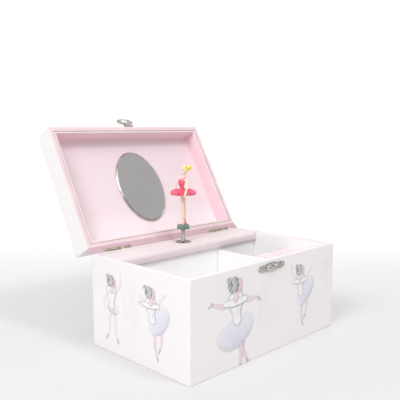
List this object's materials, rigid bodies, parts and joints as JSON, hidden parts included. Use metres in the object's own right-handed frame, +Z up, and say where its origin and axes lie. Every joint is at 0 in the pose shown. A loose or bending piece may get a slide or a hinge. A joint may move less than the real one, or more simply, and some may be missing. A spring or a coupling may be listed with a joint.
{
  "type": "music box",
  "caption": "Wind-up jewellery music box with hinged mirror lid, storage wells, ring cushion, comb movement, winding key and a folding spinning dancer.",
  "frame": {"origin": "middle of the underside of the case", "axes": "+Z up, -Y out of the front face with the catch, +X to the right seen from the front; the lid is stored standing open"},
  "size_m": [0.18, 0.197, 0.1863],
  "materials": {
    "board": "matt",
    "case_paper": "satin printed paper",
    "pink_lining": "matt paper",
    "white_lining": "matt paper",
    "pink_fabric": "soft brushed cloth",
    "mirror_glass": "polished",
    "nickel": "antiqued nickel",
    "hinge_brass": "dull brass",
    "steel": "bright",
    "brass": "machined",
    "cast_zinc": "as cast",
    "spring_chrome": "bright",
    "green_plastic": "satin",
    "skin_plastic": "satin",
    "pink_plastic": "satin",
    "hair_plastic": "satin"
  },
  "bodies": {
    "case": {"base_board": "board", "front_board": "board", "back_board": "board", "left_board": "board", "right_board": "board", "case_wrap": "case_paper", "floor_lining": "white_lining", "wall_linings": "white_lining", "partition_board": "white_lining", "divider_board": "white_lining", "deck_board": "board", "deck_pad": "pink_fabric", "eyelet": "nickel", "ring_riser": "white_lining", "ring_cushion": "pink_fabric", "case_hinge_leaves": "hinge_brass", "hinge_pins": "hinge_brass", "case_hinge_nails": "hinge_brass", "catch_plate": "nickel", "catch_nails": "nickel", "movement_bedplate": "cast_zinc", "movement_screws": "steel", "arbor_wrap_spring": "steel", "tone_comb": "steel", "comb_base": "cast_zinc", "comb_screws": "steel", "cylinder_bracket": "cast_zinc", "governor_frame": "cast_zinc", "shaft_bracket": "cast_zinc"},
    "lid": {"lid_top_panel": "board", "lid_front_board": "board", "lid_back_board": "board", "lid_left_board": "board", "lid_right_board": "board", "lid_wrap": "case_paper", "lid_wall_lining": "pink_lining", "lid_panel_lining": "pink_lining", "mirror": "mirror_glass", "lid_hinge_leaves": "hinge_brass", "lid_hinge_nails": "hinge_brass", "hasp_plate": "nickel", "hasp_nails": "nickel", "hasp_pin": "nickel"},
    "hasp": {"hasp_leaf": "nickel"},
    "barrel": {"spring_barrel": "brass", "mainspring": "steel"},
    "key": {"winding_key": "steel", "winding_arbor": "steel"},
    "cylinder": {"pinned_cylinder": "brass", "cylinder_arbor": "steel", "cylinder_wheel": "brass"},
    "governor": {"governor_wheel": "brass"},
    "fly": {"governor_fly": "brass"},
    "drive_shaft": {"dancer_shaft": "steel"},
    "stop": {"stop_wire": "steel"},
    "figure_bend": {"dancer_spring": "spring_chrome"},
    "dancer": {"dancer_disc": "green_plastic", "dancer_body": "skin_plastic", "dancer_tutu": "pink_plastic", "dancer_hair": "hair_plastic"}
  },
  "joints": [
    {"name": "lid_hinge", "type": "hinge", "parent": "case", "child": "lid", "pos_m": [0, 0.0605, 0.0762], "axis": [1, 0, 0], "range_deg": [0, 119.5]},
    {"name": "hasp_swing", "type": "hinge", "parent": "lid", "child": "hasp", "pos_m": [0, 0.12108, 0.17963], "axis": [1, 0, 0], "range_deg": [0, 116]},
    {"name": "movement_run", "type": "hinge", "parent": "case", "child": "barrel", "pos_m": [0, 0.0435, 0.036], "axis": [0, 1, 0], "continuous": true},
    {"name": "key_wind", "type": "hinge", "parent": "case", "child": "key", "pos_m": [0, 0.065, 0.036], "axis": [0, 1, 0], "continuous": true},
    {"name": "cylinder_spin", "type": "hinge", "parent": "case", "child": "cylinder", "pos_m": [0.031, 0.0435, 0.036], "axis": [1, 0, 0], "continuous": true},
    {"name": "governor_spin", "type": "hinge", "parent": "case", "child": "governor", "pos_m": [0.05, 0.0435, 0.0435], "axis": [1, 0, 0], "continuous": true},
    {"name": "fly_spin", "type": "hinge", "parent": "case", "child": "fly", "pos_m": [0.05, 0.0435, 0.051], "axis": [1, 0, 0], "continuous": true},
    {"name": "shaft_spin", "type": "hinge", "parent": "case", "child": "drive_shaft", "pos_m": [0, 0.0435, 0.06], "axis": [0, 0, 1], "continuous": true},
    {"name": "figure_fold", "type": "hinge", "parent": "case", "child": "figure_bend", "pos_m": [0, 0.0435, 0.0836], "axis": [1, 0, 0], "range_deg": [0, 103], "deforming": ["dancer_spring"]},
    {"name": "dancer_spin", "type": "hinge", "parent": "figure_bend", "child": "dancer", "pos_m": [0, 0.0435, 0.0836], "axis": [0, 0, 1], "continuous": true},
    {"name": "stop_slide", "type": "slide", "parent": "case", "child": "stop", "axis": [0, 0, -1], "range_m": [0, 0.0022]}
  ],
  "couplings": [
    {"joint": "cylinder_spin", "follows": "movement_run", "ratio": -3.6},
    {"joint": "governor_spin", "follows": "movement_run", "ratio": 9.9},
    {"joint": "fly_spin", "follows": "movement_run", "ratio": -27.225},
    {"joint": "shaft_spin", "follows": "movement_run", "ratio": -3.6},
    {"joint": "dancer_spin", "follows": "movement_run", "ratio": -3.6},
    {"joint": "figure_fold", "follows": "lid_hinge", "ratio": 0.86192},
    {"joint": "stop_slide", "follows": "lid_hinge", "m_per_rad": 0.0010548}
  ]
}
